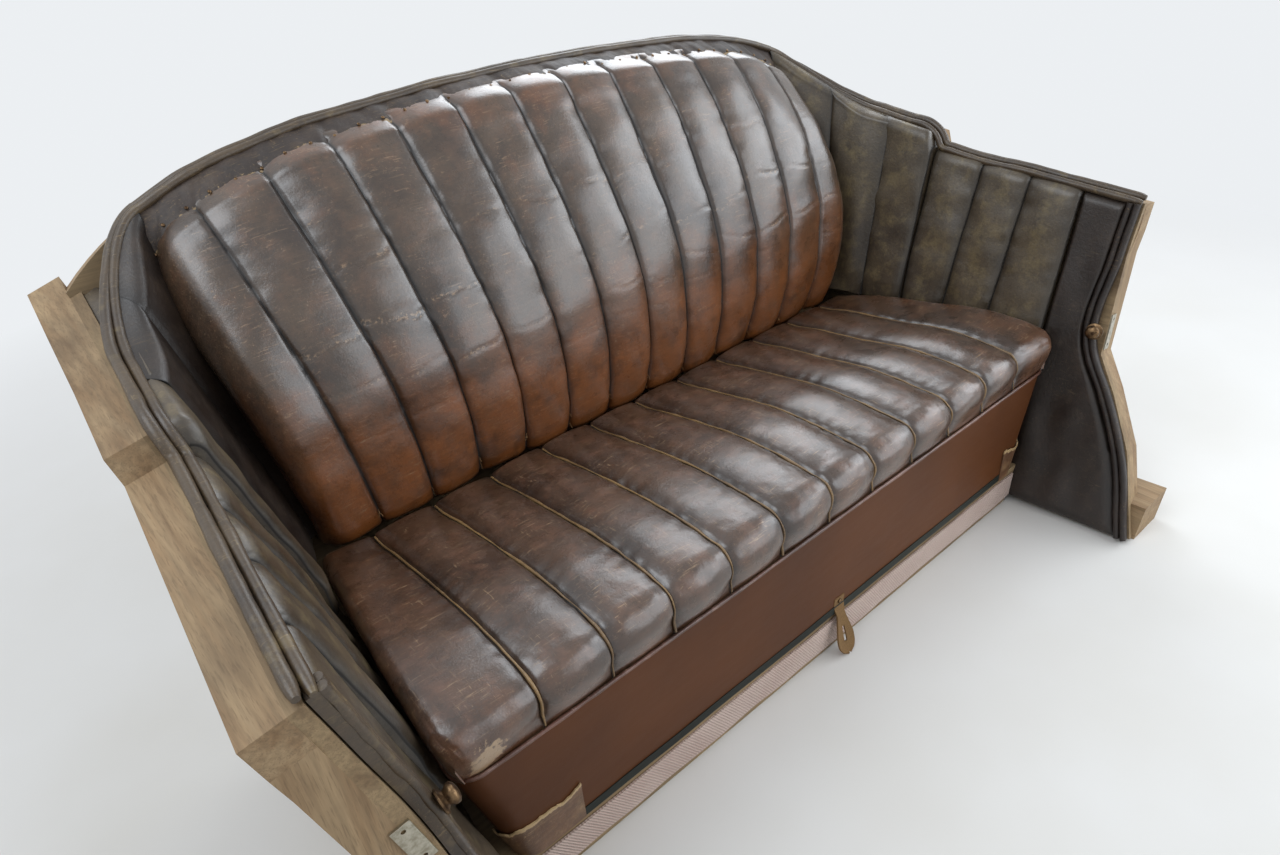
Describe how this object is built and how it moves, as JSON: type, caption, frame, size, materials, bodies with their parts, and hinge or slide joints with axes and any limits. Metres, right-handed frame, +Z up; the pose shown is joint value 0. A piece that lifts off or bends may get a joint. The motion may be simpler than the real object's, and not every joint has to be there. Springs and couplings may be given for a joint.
{
  "type": "touring car rear bench",
  "caption": "Pleated leather bench with a lift-out cushion, arched squab, wrap-around padded sides and a timber frame.",
  "frame": {"origin": "on the floor, in the middle of the outline seen from above", "axes": "+Z up, -Y is the way the bench faces (the front of the car), +X to the left hand of a person sitting on it"},
  "size_m": [1.4912, 0.9148, 0.8085],
  "materials": {
    "ash": "satin",
    "black_rubber": "matte",
    "brown_hide": "satin",
    "carpet": "matte",
    "edging_hide": "satin",
    "leathercloth": "satin",
    "nickel": "satin",
    "olive_hide": "satin",
    "plywood": "satin"
  },
  "bodies": {
    "bench_frame": {"back_board": "plywood", "back_bottom_rail": "ash", "back_lining": "leathercloth", "back_roll": "edging_hide", "back_top_rail": "ash", "bearer_front": "ash", "bearer_rear": "ash", "corner_pad_left": "edging_hide", "corner_pad_right": "edging_hide", "corner_post_left": "ash", "corner_post_right": "ash", "corner_roll_left": "edging_hide", "corner_roll_right": "edging_hide", "deck": "plywood", "door_buffer_left": "black_rubber", "door_buffer_right": "black_rubber", "elbow_rail_left": "ash", "elbow_rail_right": "ash", "front_pad_left": "olive_hide", "front_pad_right": "olive_hide", "front_panel_left": "leathercloth", "front_panel_right": "leathercloth", "front_roll_left": "edging_hide", "front_roll_right": "edging_hide", "heelboard": "plywood", "heelboard_carpet": "carpet", "inner_post_left": "ash", "inner_post_right": "ash", "lower_cover_left": "leathercloth", "lower_cover_right": "leathercloth", "mid_post_left": "ash", "mid_post_right": "ash", "pillar_edging_left": "edging_hide", "pillar_edging_right": "edging_hide", "pillar_post_left": "ash", "pillar_post_right": "ash", "rear_pad_left": "olive_hide", "rear_pad_right": "olive_hide", "rear_roll_left": "edging_hide", "rear_roll_right": "edging_hide", "side_board_left": "plywood", "side_board_right": "plywood", "sill_left": "ash", "sill_right": "ash", "squab_board": "plywood", "squab_pad": "brown_hide", "striker_plate_left": "nickel", "striker_plate_right": "nickel"},
    "cushion": {"corner_patch_left": "edging_hide", "corner_patch_right": "edging_hide", "cushion_box": "ash", "cushion_facing": "leathercloth", "cushion_pad": "brown_hide", "cushion_slat_1": "plywood", "cushion_slat_2": "plywood", "cushion_slat_3": "plywood", "cushion_welt": "edging_hide", "pull_tab": "edging_hide"}
  },
  "joints": [
    {"name": "cushion_lift", "type": "slide", "parent": "bench_frame", "child": "cushion", "axis": [0, -0.5, 0.866], "range_m": [0, 0.6]}
  ]
}
